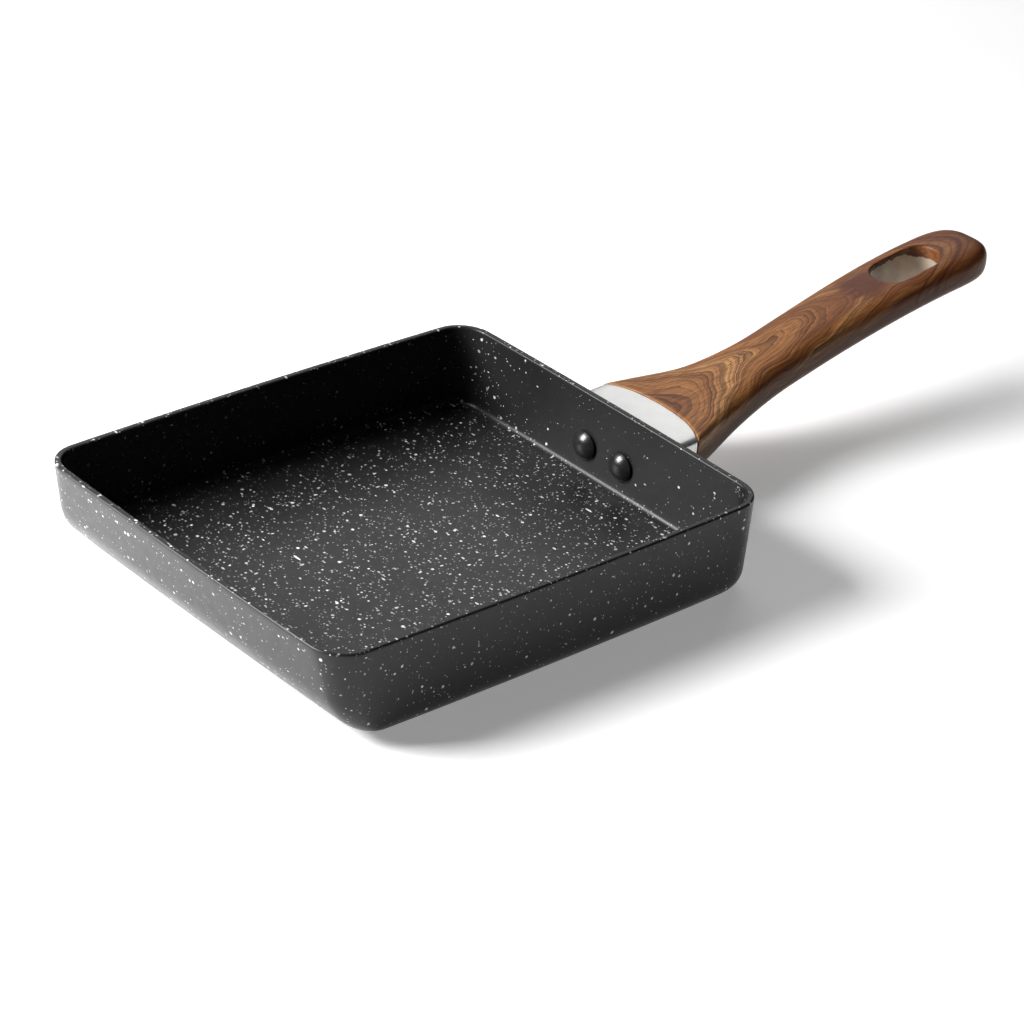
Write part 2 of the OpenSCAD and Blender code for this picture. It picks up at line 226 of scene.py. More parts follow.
def node(tree, kind, inputs=None, **settings):
    """A new node with those settings, its inputs set to values or joined to other nodes' outputs"""
    made = tree.nodes.new("ShaderNode" + kind)
    for name, value in settings.items():
        setattr(made, name, value)
    for socket, value in (inputs or {}).items():
        if isinstance(value, bpy.types.NodeSocket):
            tree.links.new(value, made.inputs[socket])
        else:
            made.inputs[socket].default_value = value
    return made


def figure(tree, operation, a, b=0.0, c=0.0):
    """One step of arithmetic"""
    return node(tree, "Math", {0: a, 1: b, 2: c}, operation=operation).outputs[0]


def spread(tree, value, low, high, to_low=0.0, to_high=1.0, steps="SMOOTHSTEP"):
    """Carries a value from one range to another"""
    return node(tree, "MapRange", {0: value, 1: low, 2: high, 3: to_low, 4: to_high},
                interpolation_type=steps).outputs[0]


def noise(tree, where, scale, detail=3.0, rough=0.5):
    """A cloudy pattern, mostly between 0.3 and 0.7"""
    return node(tree, "TexNoise", {"Vector": where, "Scale": scale, "Detail": detail,
                                   "Roughness": rough}).outputs["Fac"]


def colours(tree, value, *stops):
    """A colour ramp: stops are (place, (red, green, blue))"""
    made = node(tree, "ValToRGB", {0: value})
    ramp = made.color_ramp
    while len(ramp.elements) < len(stops):
        ramp.elements.new(1.0)
    for element, (place, colour) in zip(ramp.elements, stops):
        element.position, element.color = place, (*colour, 1)
    return made.outputs[0]


def mix(tree, amount, a, b):
    """From colour a at amount 0 to colour b at amount 1"""
    made = node(tree, "Mix", {0: amount}, data_type="RGBA")
    for socket, value in ((made.inputs[6], a), (made.inputs[7], b)):
        if isinstance(value, bpy.types.NodeSocket):
            tree.links.new(value, socket)
        else:
            socket.default_value = (*value, 1)
    return made.outputs[2]


def place(tree, where, turn=(0, 0, 0), scale=(1, 1, 1), shift=(0, 0, 0)):
    """Turns, stretches and shifts a pattern's coordinates"""
    return node(tree, "Mapping", {0: where, 1: shift, 2: turn, 3: scale}, vector_type="POINT").outputs[0]


def wobble(tree, where, scale, size):
    """Coordinates pushed about by a noise, so that round things turn ragged"""
    push = node(tree, "TexNoise", {"Vector": where, "Scale": scale, "Detail": 2.0}).outputs["Color"]
    centred = node(tree, "VectorMath", {0: push, 1: (-0.5, -0.5, -0.5)}, operation="ADD").outputs[0]
    scaled = node(tree, "VectorMath", {0: centred, 3: size}, operation="SCALE").outputs[0]
    return node(tree, "VectorMath", {0: where, 1: scaled}, operation="ADD").outputs[0]


def bump(tree, height, depth, under=None):
    """Relief whose height of 1 stands that many millimetres high"""
    inputs = {"Height": height, "Distance": depth * mm, "Strength": 1.0}
    if under:
        inputs["Normal"] = under
    return node(tree, "Bump", inputs).outputs[0]


# its coating: near-black, satin, sprayed with pale mineral flecks of several sizes, most of them
# on the faces that looked up at the spray gun
coating, tree, shader = finish("speckled_coating")
where = node(tree, "TexCoord").outputs["Object"]
facing = node(tree, "SeparateXYZ", {0: node(tree, "TexCoord").outputs["Normal"]}).outputs["Z"]
missed = spread(tree, facing, 0.2, 0.9, 0.32, 0.0)
fleck_fade, faintest_share = 0.4, 0.4


def flecks(where, cell, radius, brightness, power, share_missed):
    """Scattered flecks: a fleck's radius and tone change from cell to cell. The higher the power,
    the rarer the big ones"""
    cells = node(tree, "TexVoronoi", {"Vector": where, "Scale": 1 / (cell * mm), "Randomness": 1.0})
    chance = node(tree, "SeparateColor", {0: cells.outputs["Color"]})
    left = figure(tree, "MULTIPLY_ADD", missed, -share_missed, chance.outputs[0])
    size = figure(tree, "POWER", figure(tree, "MAXIMUM", left, 0.0), power)
    size = figure(tree, "MULTIPLY", size, radius / cell)
    inner = figure(tree, "MULTIPLY", size, 1 - fleck_fade)
    there = spread(tree, cells.outputs["Distance"], size, inner)
    tone = spread(tree, chance.outputs[1], 0.0, 1.0, brightness * faintest_share, brightness, "LINEAR")
    return figure(tree, "MULTIPLY", there, tone)


# round flecks from fine to large, then drawn-out ones lying three ways; cells and radii in millimetres
ragged = wobble(tree, where, 900, 0.45 * mm)
layers = [flecks(ragged, 1.35, 0.42, 0.45, 0.8, 1.0),
          flecks(place(tree, ragged, shift=(0.21, 0.32, 0.17)), 1.8, 0.52, 0.75, 1.0, 1.0),
          flecks(place(tree, ragged, shift=(0.31, 0.12, 0.07)), 2.8, 0.78, 0.9, 1.7, 0.12),
          flecks(place(tree, ragged, (0.3, 0.2, 0.5), (1, 0.42, 1)), 3.0, 0.48, 0.95, 1.2, 0.8),
          flecks(place(tree, ragged, (0.1, -0.4, -0.6), (0.45, 1, 1), (0.2, 0.1, 0.3)),
                 3.2, 0.48, 0.95, 1.2, 0.8),
          flecks(place(tree, ragged, (0.5, 0.1, 1.2), (1, 0.22, 0.6)), 6.0, 0.5, 1.0, 1.5, 0.0)]
fleck = layers[0]
for layer in layers[1:]:
    fleck = figure(tree, "MAXIMUM", fleck, layer)
cloud = noise(tree, where, 40, 4)
dark = colours(tree, cloud, (0.3, (0.0105, 0.0105, 0.011)), (0.7, (0.0145, 0.0145, 0.015)))
fleck_colour = (0.78, 0.78, 0.77)
tree.links.new(mix(tree, fleck, dark, fleck_colour), shader.inputs["Base Color"])
grain = noise(tree, where, 2600, 2)
satin = spread(tree, noise(tree, where, 300, 3), 0.3, 0.7, 0.33, 0.40, "LINEAR")
tree.links.new(satin, shader.inputs["Roughness"])
peel = bump(tree, noise(tree, where, 420, 2), 0.012)
tree.links.new(bump(tree, grain, 0.004, peel), shader.inputs["Normal"])
shader.inputs["IOR"].default_value = 1.37
pan.data.materials.append(coating)
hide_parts("pan_body")
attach(pan, "root")

# The rivets. Each is one aluminium rivet, coated gloss black: a domed head with a straight foot
# inside the pan, a shank through wall and plate, and a tail upset behind the plate.
head_radius, head_height, foot_height = 5.3, 3.4, 0.7
tail_radius, tail_height, seat_gap = 3.8, 1.5, 0.1
tail_round, tail_share, head_round = 0.4, 0.86, 0.35
plate_thickness = 2.0


def handle_wall(y, z):
    """Place of the handle wall's outer face"""
    return (pan_length / 2 - lean(z, side_lean) - turn_in(z, side_radius)
            + end_bow * (1 - (2 * y / pan_width) ** 2))


low = rivet_height - head_radius
head_x = (handle_wall(rivet_pitch / 2 + head_radius, pan_height) - lean(low, side_lean) - wall
          - turn_in(low - floor, inside_radius) - seat_gap)
joint_height, joint_up = 19.7, 7.5
plate_x = handle_wall(0, joint_height + joint_up) + seat_gap
tang_x = plate_x + plate_thickness
tail_x = tang_x + seat_gap
dome_height = head_height - foot_height
dome_radius = (head_radius ** 2 + dome_height ** 2) / (2 * dome_height)

rivet = start("rivet_a", bpy.ops.mesh.primitive_uv_sphere_add, segments=64, ring_count=64,
              radius=dome_radius * mm, rotation=(0, pi / 2, 0),
              location=((head_x - head_height + dome_radius) * mm, rivet_pitch / 2 * mm, rivet_height * mm))
bpy.ops.object.mode_set(mode="OBJECT")
bpy.ops.object.transform_apply()
bpy.ops.object.mode_set(mode="EDIT")
bpy.ops.mesh.select_all(action="SELECT")
bpy.ops.mesh.bisect(plane_co=((head_x - foot_height) * mm, 0, 0), plane_no=(1, 0, 0), use_fill=True,
                    clear_outer=True)
rivet_axis = Vector((0, rivet_pitch / 2 * mm, rivet_height * mm))


def rivet_step(length, radius=None, was=None):
    """Draws the rivet's end face on along X, or first widens or narrows it in place"""
    if radius:
        bpy.ops.mesh.extrude_region_move()
        bpy.ops.transform.resize(value=(1, radius / was, radius / was), center_override=rivet_axis)
    if length:
        bpy.ops.mesh.extrude_region_move(TRANSFORM_OT_translate={"value": (length * mm, 0, 0)})


pick(rivet, "FACE", lambda middle, normal: normal.x > 0.99 and middle.x > head_x - foot_height - 0.05)
rivet_step(foot_height)
rivet_step(tail_x - head_x, shank_radius, head_radius)
rivet_step(tail_height - tail_round, tail_radius, shank_radius)
rivet_step(tail_round)
bpy.ops.transform.resize(value=(1, tail_share, tail_share), center_override=rivet_axis)
outward(rivet)
pick(rivet, "EDGE", lambda middle, normal: abs(middle.x - head_x + foot_height) < 0.02
     and abs((middle.yz - rivet_axis.yz / mm).length - head_radius) < 0.05)
bpy.ops.mesh.bevel(offset=head_round * mm, segments=4, affect="EDGES")
smooth(rivet, 40)

gloss_black, tree, shader = finish("gloss_black_coating")
where = node(tree, "TexCoord").outputs["Object"]
black = colours(tree, noise(tree, where, 250, 3), (0.3, (0.011, 0.011, 0.012)), (0.7, (0.017, 0.017, 0.018)))
tree.links.new(black, shader.inputs["Base Color"])
gloss = spread(tree, noise(tree, where, 500, 2), 0.3, 0.7, 0.22, 0.30, "LINEAR")
tree.links.new(gloss, shader.inputs["Roughness"])
tree.links.new(bump(tree, noise(tree, where, 900, 3), 0.02), shader.inputs["Normal"])
rivet.data.materials.append(gloss_black)

other = rivet.copy()
other.data = rivet.data.copy()
other.name = other.data.name = "rivet_b"
bpy.context.collection.objects.link(other)
other.data.transform(Matrix.Translation((0, -rivet_pitch * mm, 0)))
for piece, name in ((rivet, "rivet_left"), (other, "rivet_right")):
    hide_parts(name)
    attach(piece, "root")

# The bracket. A plain stamped steel plate, riveted against the outside of the handle wall, with a
# tang that runs up into the grip. Sleeve and grip hide it once the pan is put together.
steel, tree, shader = finish("stamped_steel")
where = node(tree, "TexCoord").outputs["Object"]
drawn = noise(tree, place(tree, where, scale=(1, 12, 12)), 160, 4)
grey = colours(tree, drawn, (0.3, (0.36, 0.36, 0.37)), (0.7, (0.56, 0.56, 0.57)))
tree.links.new(grey, shader.inputs["Base Color"])
tree.links.new(spread(tree, drawn, 0.3, 0.7, 0.3, 0.45, "LINEAR"), shader.inputs["Roughness"])
tree.links.new(bump(tree, drawn, 0.01), shader.inputs["Normal"])
shader.inputs["Metallic"].default_value = 1.0
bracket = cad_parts["bracket"]
bracket.data.materials.clear()
bracket.data.materials.append(steel)

# The sleeve. A satin silver shell between pan and grip that hides the bracket: flat and crisp on
# top, deep in the belly, open towards the pan and closed by a web at the curved joint.
sleeve_length, sleeve_nose, sleeve_half_width = 17.0, 6.0, 24.3
sleeve_wall, sleeve_drop, sleeve_web = 2.0, 2.0, 3.0
sleeve_chamfer, sleeve_edge = 0.35, 0.2
joint_x = plate_x + sleeve_length
joint_radius = (sleeve_half_width ** 2 + sleeve_nose ** 2) / (2 * sleeve_nose)
joint_centre = joint_x + sleeve_nose - joint_radius
# the handle's run from joint to tip: places along it, then its heights, widths and squareness
neck_length, palm_length, rise_length, grip_length, tip_length = 58, 130, 62, 159.5, 21.5
neck_x, palm_x, rise_x = joint_x + neck_length, joint_x + palm_length, joint_x + rise_length
tip_x = joint_x + grip_length
tip_start = tip_x - tip_length
joint_slope, rise_height, rise_slope, tip_height, tip_slope = 0.06, 11.5, 0.26, 27.5, 0.03
neck_half_width, palm_half_width, joint_taper = 12.1, 13.8, -0.3
neck_up, palm_up = 7, 6.9
joint_down, neck_down, palm_down = 10.2, 8.5, 6.9
close_width, close_up, close_down = 3.3, 7, 9
boxy_length, upper_powers, lower_powers = 30, (9, 3.2), (3.5, 2.5)
across, upright = 24, 8


def blend(x, p, q):
    """Smooth curve at x from p to q, each (place, value, slope)"""
    length = q[0] - p[0]
    t = min(1.0, max(0.0, (x - p[0]) / length))
    s = t * t * (3 - 2 * t)
    return p[1] * (1 - s) + q[1] * s + length * t * (1 - t) * (p[2] * (1 - t) - q[2] * t)


def spine(x):
    """Height of the handle's middle line"""
    steep = (rise_x, joint_height + rise_height, rise_slope)
    if x < joint_x:
        return joint_height + joint_slope * (x - joint_x)
    if x < rise_x:
        return blend(x, (joint_x, joint_height, joint_slope), steep)
    return blend(x, steep, (tip_x, joint_height + tip_height, tip_slope))


def along(x, joint, neck, palm, taper=0.0):
    """A measure of the handle's section at x, from its values at the joint, neck and palm"""
    if x < neck_x:
        return blend(x, (joint_x, joint, taper), (neck_x, neck, 0))
    return blend(x, (neck_x, neck, 0), (palm_x, palm, 0))


def closing(x, power):
    """How far the rounded tip has closed at x"""
    return 1.0 if x < tip_start else sqrt(max(0.0, 1 - ((x - tip_start) / (tip_x - tip_start)) ** power))


def section(x, grow):
    """Half width, height above and depth below the middle of the handle's section at x, and its
    two superellipse powers"""
    belly = sleeve_drop * max(0.0, joint_x - x) / sleeve_length
    width = along(x, sleeve_half_width, neck_half_width, palm_half_width, joint_taper)
    width = (width + grow) * closing(x, close_width)
    above = (along(x, joint_up, neck_up, palm_up) + grow) * closing(x, close_up)
    below = (along(x, joint_down, neck_down, palm_down) + belly + grow) * closing(x, close_down)
    squareness = [blend(x, (joint_x, boxy, 0), (joint_x + boxy_length, oval, 0))
                  for boxy, oval in (upper_powers, lower_powers)]
    return width, above, below, squareness


def section_point(x, grow, u, v):
    """The point of the section at x for a place u, v in the square drawing grid"""
    reach = max(abs(u), abs(v))
    if reach < 1e-9:
        return (x, 0.0, spine(x))
    if abs(u) >= abs(v):
        angle = radians(45) * v / u + (0 if u > 0 else pi)
    else:
        angle = pi / 2 - radians(45) * u / v + (0 if v > 0 else pi)
    width, above, below, (upper, lower) = section(x, grow)
    power = 2 / (upper if v > 0 else lower)
    y = width * abs(cos(angle)) ** power * (1 if cos(angle) > 0 else -1)
    z = above * abs(sin(angle)) ** power if v > 0 else -below * abs(sin(angle)) ** power
    return (x, y * reach, spine(x) + z * reach)


def joint_place(y, back):
    """Place of the joint's curve at y, moved back by that much"""
    return joint_centre + sqrt((joint_radius + back) ** 2 - y * y)


def curved_point(station, grow, back, u, v):
    """A section point on a face that follows the joint's curve; station 0 is that face, and at
    station 1 the face has become the flat section at the other end"""
    share, flat_x = station
    x = joint_x
    for _ in range(6):
        y = section_point(x, grow, u, v)[1]
        x = joint_place(y, back) * (1 - share) + flat_x * share
    return section_point(x, grow, u, v)


def draw_handle(name, stations):
    """Draws a filled grid across the handle on from station to station; each gives the point for a
    place u, v in the grid"""
    piece = start(name, bpy.ops.mesh.primitive_grid_add, x_subdivisions=across, y_subdivisions=upright,
                  size=2)
    mesh = bmesh.from_edit_mesh(piece.data)
    grid = [(vert.co.x, vert.co.y) for vert in mesh.verts]
    number_points(piece, "place", range(len(grid)))
    bpy.ops.mesh.select_all(action="SELECT")
    for count, station in enumerate(stations):
        if count:
            bpy.ops.mesh.extrude_region_move()
        set_points(piece, "place", lambda number: station(*grid[number]))
    outward(piece)
    return piece


tang_width, tang_height, tang_length = 9.0, 5.0, 43
tang_foot, tang_rise, slot_gap = 2.5, 9.5, 0.15


def tang_slot(name):
    """Cutter for the tang's slot, and the tang's tilt"""
    tang_end = joint_x + tang_length
    tilt = atan(tang_rise / (tang_end - tang_x))
    length = (tang_end + 2 * slot_gap - tang_x) / cos(tilt)
    slot = start(name, bpy.ops.mesh.primitive_cube_add, size=1)
    bpy.ops.transform.resize(value=(length * mm, (tang_width + 2 * slot_gap) * mm,
                                    (tang_height + 2 * slot_gap) * mm), center_override=(0, 0, 0))
    bpy.ops.object.mode_set(mode="OBJECT")
    slot.data.transform(Matrix.Translation((length / 2 * mm, 0, 0)))
    slot.data.transform(Matrix.Rotation(-tilt, 4, "Y"))
    slot.data.transform(Matrix.Translation((tang_x * mm, 0, (rivet_height + tang_foot) * mm)))
    return slot, tilt


def sleeve_skin(share, grow, back=0.0):
    """A station of the sleeve: share 0 is its joint face, share 1 its end at the pan"""
    return lambda u, v: curved_point((share, plate_x), grow, back, u, v)


stations = [sleeve_skin(0, -sleeve_chamfer), sleeve_skin(0.006, -0.1), sleeve_skin(0.018, 0)]
stations += [sleeve_skin(share, 0) for share in (0.06, 0.2, 0.4, 0.6, 0.8, 0.95, 0.985)]
stations += [sleeve_skin(1, -sleeve_edge), sleeve_skin(1, -sleeve_wall)]
stations += [sleeve_skin(share, -sleeve_wall, -sleeve_web) for share in (0.9, 0.6, 0.3, 0.04, 0)]
sleeve = draw_handle("sleeve", stations)
apply(sleeve, "SUBSURF", levels=1, render_levels=1)
cut(sleeve, tang_slot("slot")[0])
smooth(sleeve, 32)

silver, tree, shader = finish("satin_silver")
where = node(tree, "TexCoord").outputs["Object"]
drawn = noise(tree, place(tree, where, scale=(14, 1, 1)), 220, 4)
cloud = noise(tree, where, 90, 3)
pale = colours(tree, cloud, (0.3, (0.70, 0.70, 0.69)), (0.7, (0.78, 0.78, 0.77)))
tree.links.new(pale, shader.inputs["Base Color"])
tree.links.new(spread(tree, drawn, 0.3, 0.7, 0.30, 0.40, "LINEAR"), shader.inputs["Roughness"])
tree.links.new(bump(tree, drawn, 0.006), shader.inputs["Normal"])
shader.inputs["Metallic"].default_value = 0.85
sleeve.data.materials.append(silver)
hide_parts("ferrule")
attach(sleeve, "root")

# The grip. Moulded heat-resistant plastic, pushed over the tang: boxy at the joint, oval in the
# palm, with an oblong hanging hole near its tip. Its wood is a printed film laid on in water, which
# reaches only a little way down the hole and ends there in a torn edge.
grip_proud, joint_chamfer, curved_length = 0.3, 0.45, 44
hole_inset, hole_radius, hole_pitch = 36.3, 7.4, 14.4
mouth_radius, mouth_below, draft_below = 0.9, 0.4, 0.5
curved_end, hole_x = joint_x + curved_length, tip_x - hole_inset
hole_half = hole_pitch / 2 + hole_radius + mouth_radius
hole_tilt = atan((spine(hole_x + 1) - spine(hole_x - 1)) / 2)


def grip_skin(share, grow):
    """A station of the grip where its sections still follow the joint's curve"""
    return lambda u, v: curved_point((share, curved_end), grow, seat_gap, u, v)


def flat_skin(x):
    """A station of the grip with a flat section"""
    return lambda u, v: section_point(x, grip_proud, u, v)


stations = [grip_skin(0, grip_proud - joint_chamfer), grip_skin(0.006, grip_proud - 0.13),
            grip_skin(0.016, grip_proud)]
stations += [grip_skin(share, grip_proud) for share in (0.05, 0.13, 0.23, 0.34, 0.46, 0.59, 0.72, 0.86, 1)]
# from there the sections stand at even steps to the hole, along it and past it, and crowd together
# where the tip closes
palm_rows, hole_rows, end_rows, tip_lead = 14, 12, 3, 3
first_row = hole_x - hole_half
spots = [curved_end + (first_row - curved_end) * i / palm_rows for i in range(1, palm_rows + 1)]
spots += [first_row + 2 * hole_half * i / hole_rows for i in range(1, hole_rows + 1)]
last = spots[-1]
spots += [last + (tip_start + tip_lead - last) * i / end_rows for i in range(1, end_rows + 1)]
spots += [tip_start + (tip_x - tip_start) * sin(radians(a))
          for a in (18, 30, 40, 50, 59, 67, 74, 80, 85, 88, 89.3)]
grip = draw_handle("grip", stations + [flat_skin(x) for x in sorted(spots)])


def surface(p, y, side):
    """Height of the grip's skin above or below the hole's middle, square to it, at p along and y
    across the hole"""
    height = 0.0
    for _ in range(5):
        x = hole_x + p * cos(hole_tilt) - height * sin(hole_tilt)
        width, above, below, (upper, lower) = section(x, grip_proud)
        power = upper if side > 0 else lower
        crown = max(0.0, 1 - abs(y / width) ** power) ** (1 / power)
        z = spine(x) + (above * crown if side > 0 else -below * crown)
        height = (z - spine(hole_x) - p * sin(hole_tilt)) / cos(hole_tilt)
    return height


hole_bend = radians(58)


def hole_outline(p, q, offset):
    """The oblong at an offset outside the hole, for a place p, q in the square -1 to 1"""
    reach = max(abs(p), abs(q))
    if reach < 1e-9:
        return 0.0, 0.0
    radius = hole_radius + offset
    half = hole_pitch / 2
    if abs(p) >= abs(q):
        angle = hole_bend * q / abs(p)
        along_hole, across_hole = half + radius * cos(angle), radius * sin(angle)
        along_hole *= 1 if p > 0 else -1
    else:
        along_hole = (half + radius * cos(hole_bend)) * p / abs(q)
        over = max(0.0, abs(along_hole) - half)
        across_hole = sqrt(radius ** 2 - over ** 2) * (1 if q > 0 else -1)
    return along_hole * reach, across_hole * reach


def hole_spot(p, q, offset, depth, side):
    """A point of the hole's wall at a depth below the skin, or at mid height where depth is None"""
    a, y = hole_outline(p, q, offset)
    height = 0.0 if depth is None else surface(a, y, side) - side * depth
    return (hole_x + a * cos(hole_tilt) - height * sin(hole_tilt), y,
            spine(hole_x) + a * sin(hole_tilt) + height * cos(hole_tilt))


mesh = bmesh.from_edit_mesh(grip.data)
column = mesh.verts.layers.float_vector.new("column")
place_layer = mesh.verts.layers.int["place"]
hole_columns = 7 / 12
for vert in mesh.verts:
    row, line = divmod(vert[place_layer], across + 1)
    u, v = -1 + 2 * line / across, -1 + 2 * row / upright
    vert[column] = ((vert.co.x / mm - hole_x) / hole_half, u / hole_columns, v)
bmesh.update_edit_mesh(grip.data)


def in_mouth(vert, column, side):
    """Whether a vertex lies in the patch that one mouth of the hole takes"""
    p, q, v = vert[column]
    return abs(p) < 1.01 and abs(q) < 1.01 and v * side > 0.99


# from each mouth the hole is drawn in, round its edge and on to mid height, where the halves meet
for side, mouth, draft in ((1, mouth_radius, 0.0), (-1, mouth_below, draft_below)):
    mouth_steps = [(mouth * (1 - sin(radians(a))) - draft, mouth * (1 - cos(radians(a))))
                   for a in (0, 22, 45, 67, 90)]
    mouth_steps += [(-0.75 * draft, 2.2), (-0.5 * draft, 3.4), (-0.25 * draft, 4.8), (0.0, None)]
    bpy.ops.mesh.select_mode(type="FACE")
    bpy.ops.mesh.select_all(action="DESELECT")
    mesh = bmesh.from_edit_mesh(grip.data)
    column = mesh.verts.layers.float_vector["column"]
    for face in mesh.faces:
        face.select_set(all(in_mouth(vert, column, side) for vert in face.verts))
    bmesh.update_edit_mesh(grip.data)
    for count, (offset, depth) in enumerate(mouth_steps):
        if count:
            bpy.ops.mesh.extrude_region_move()
        mesh = bmesh.from_edit_mesh(grip.data)
        column = mesh.verts.layers.float_vector["column"]
        for vert in mesh.verts:
            if vert.select:
                vert.co = Vector(hole_spot(vert[column].x, vert[column].y, offset, depth, side)) * mm
        bmesh.update_edit_mesh(grip.data)
    bpy.ops.mesh.delete(type="FACE")
outward(grip)
apply(grip, "SUBSURF", levels=1, render_levels=1)

screw_place, screw_hole_radius, counterbore_radius, seat_thickness = 21, 2.65, 4.95, 1.8
screw_x = joint_x + screw_place
slot, tang_tilt = tang_slot("slot")
tang_under = (rivet_height + tang_foot + (screw_x - tang_x) * tan(tang_tilt)
              - tang_height / 2 / cos(tang_tilt))
cut(grip, slot)
# the drills are turned a little, so that none of their corners lies on the grip's middle line
drill_turn = radians(1.3)
for name, radius, top in (("shank_hole", screw_hole_radius, tang_under + 1),
                          ("counterbore", counterbore_radius, tang_under - seat_thickness)):
    drill = start(name, bpy.ops.mesh.primitive_cylinder_add, vertices=96, radius=radius * mm,
                  depth=top * mm, location=(screw_x * mm, 0, top / 2 * mm), rotation=(0, 0, drill_turn))
    bpy.ops.object.mode_set(mode="OBJECT")
    cut(grip, drill)
smooth(grip, 38)

# its print follows the grip: x along it, y across it and z above its middle, all in millimetres
print_half_width = 13
straight = grip.data.attributes.new("straight", "FLOAT_VECTOR", "POINT")
for vert, spot in zip(grip.data.vertices, straight.data):
    x, y, z = vert.co / mm
    half_width = section(min(max(x, joint_x), tip_start), 0)[0]
    spot.vector = (x, print_half_width * y / half_width, z - spine(x))

wood, tree, shader = finish("wood_print")
where = node(tree, "TexCoord").outputs["Object"]
along_grip = node(tree, "Attribute", attribute_name="straight").outputs["Vector"]
place_x, place_y, place_z = node(tree, "SeparateXYZ", {0: along_grip}).outputs
drift = noise(tree, place(tree, along_grip, scale=(0.022, 0.05, 0.05)), 1, 2)
fibre = noise(tree, place(tree, along_grip, scale=(0.045, 0.6, 0.6)), 1, 2, 0.55)
hair = noise(tree, place(tree, along_grip, scale=(0.14, 1.9, 1.9)), 1, 4, 0.75)


def centred(value, size):
    """A noise's value, from -size to size"""
    return figure(tree, "MULTIPLY_ADD", value, 2 * size, -size)


# growth rings: long nested arches round the grip's upper middle, pointing at the tip
pith_height, depth_share, arch_curve = 6.3, 1.1, 0.2
wander = centred(noise(tree, place(tree, along_grip, scale=(0.03, 0, 0)), 1, 1), 7)
off_middle = figure(tree, "ADD", place_y, wander)
below_pith = figure(tree, "MAXIMUM", figure(tree, "SUBTRACT", pith_height, place_z), 0.0)
depth = figure(tree, "MULTIPLY", below_pith, depth_share)
reach = figure(tree, "SQRT", figure(tree, "ADD", figure(tree, "MULTIPLY", off_middle, off_middle),
                                    figure(tree, "MULTIPLY", depth, depth)))
arch = figure(tree, "MULTIPLY", figure(tree, "POWER", reach, 2.0), arch_curve)
ring = figure(tree, "ADD", figure(tree, "ADD", place_x, arch),
              figure(tree, "ADD", centred(drift, 28), centred(fibre, 1.5)))
# the years differ: some rings are wide, some narrow
years = node(tree, "CombineXYZ", {0: figure(tree, "MULTIPLY", ring, 0.11)}).outputs[0]
ring = figure(tree, "ADD", ring, centred(noise(tree, years, 1, 2), 11))


def ring_wood(pitch, power, shift=0.0):
    """Each ring's wood darkens toward its late edge: 0 to 1"""
    age = figure(tree, "FRACT", figure(tree, "MULTIPLY_ADD", ring, 1 / pitch, shift))
    edge = spread(tree, age, 1.0, 0.9)
    return figure(tree, "MULTIPLY", figure(tree, "POWER", age, power), edge)


bands = node(tree, "CombineXYZ", {0: figure(tree, "MULTIPLY", ring, 0.055),
                                  1: figure(tree, "MULTIPLY", fibre, 0.5)}).outputs[0]
tone = noise(tree, bands, 1, 2)
tan_wood = colours(tree, tone, (0.32, (0.170, 0.058, 0.018)), (0.5, (0.340, 0.140, 0.042)),
                   (0.66, (0.520, 0.265, 0.095)))
hair_brown, thin_ring_brown, ring_brown = (0.110, 0.038, 0.015), (0.080, 0.024, 0.010), (0.018, 0.005, 0.003)
heart_brown, arch_brown, tip_red = (0.048, 0.013, 0.011), (0.032, 0.009, 0.006), (0.130, 0.036, 0.012)
underside_shade_brown, bevel_highlight_gold, hole_shade_brown = (0.040, 0.015, 0.007), (0.36, 0.175, 0.055), (0.022, 0.009, 0.005)
ground = mix(tree, spread(tree, hair, 0.42, 0.62, 0.0, 0.62), tan_wood, hair_brown)
patches = noise(tree, place(tree, along_grip, scale=(0.04, 0.2, 0.2), shift=(9, 4, 2)), 1, 2)
strength = figure(tree, "MULTIPLY", ring_wood(1.8, 2.4, 0.3), spread(tree, patches, 0.35, 0.7, 0.85, 0.4))
ground = mix(tree, strength, ground, thin_ring_brown)
strength = figure(tree, "MULTIPLY", spread(tree, patches, 0.3, 0.65, 0.7, 1.0),
                  spread(tree, place_x, hole_x + 1, hole_x + 13, 1.0, 0.4))
ground = mix(tree, figure(tree, "MULTIPLY", ring_wood(5.0, 2.4), strength), ground, ring_brown)
# a dark heart just before the hole, dark arches round the tip, redder wood toward the tip, and
# painted shade darkening the grip below the ridge
heart_x, heart_y, heart_length, heart_width = hole_x - 21, 1, 11, 8.5
shift_x = figure(tree, "DIVIDE", figure(tree, "SUBTRACT", place_x, heart_x), heart_length)
shift_y = figure(tree, "DIVIDE", figure(tree, "SUBTRACT", place_y, heart_y), heart_width)
heart = figure(tree, "ADD", figure(tree, "MULTIPLY", shift_x, shift_x),
               figure(tree, "MULTIPLY", shift_y, shift_y))
heart = spread(tree, figure(tree, "ADD", heart, centred(fibre, 0.9)), 0.2, 1.4, 0.92, 0.0)
ground = mix(tree, heart, ground, heart_brown)
tip_arch = figure(tree, "MULTIPLY_ADD", figure(tree, "MULTIPLY", place_y, place_y), 0.135, place_x)
tip_arch = figure(tree, "ADD", tip_arch, centred(fibre, 1.4))
for from_tip, half, amount in ((11.3, 2.0, 0.95), (20.8, 1.4, 0.85), (6.8, 1.0, 0.7), (15.8, 0.8, 0.6)):
    distance = figure(tree, "ABSOLUTE", figure(tree, "SUBTRACT", tip_arch, tip_x - from_tip))
    ground = mix(tree, spread(tree, distance, half, half * 0.3, 0.0, amount), ground, arch_brown)
ground = mix(tree, spread(tree, place_x, hole_x - 61, hole_x - 6, 0.0, 0.5), ground, tip_red)
# painted shade: the grip's lower side is darkened, more the further it lies below the ridge
below = spread(tree, figure(tree, "ADD", place_z, centred(fibre, 2)), 4.8, -0.5, 0.0, 0.72)
ground = mix(tree, below, ground, underside_shade_brown)
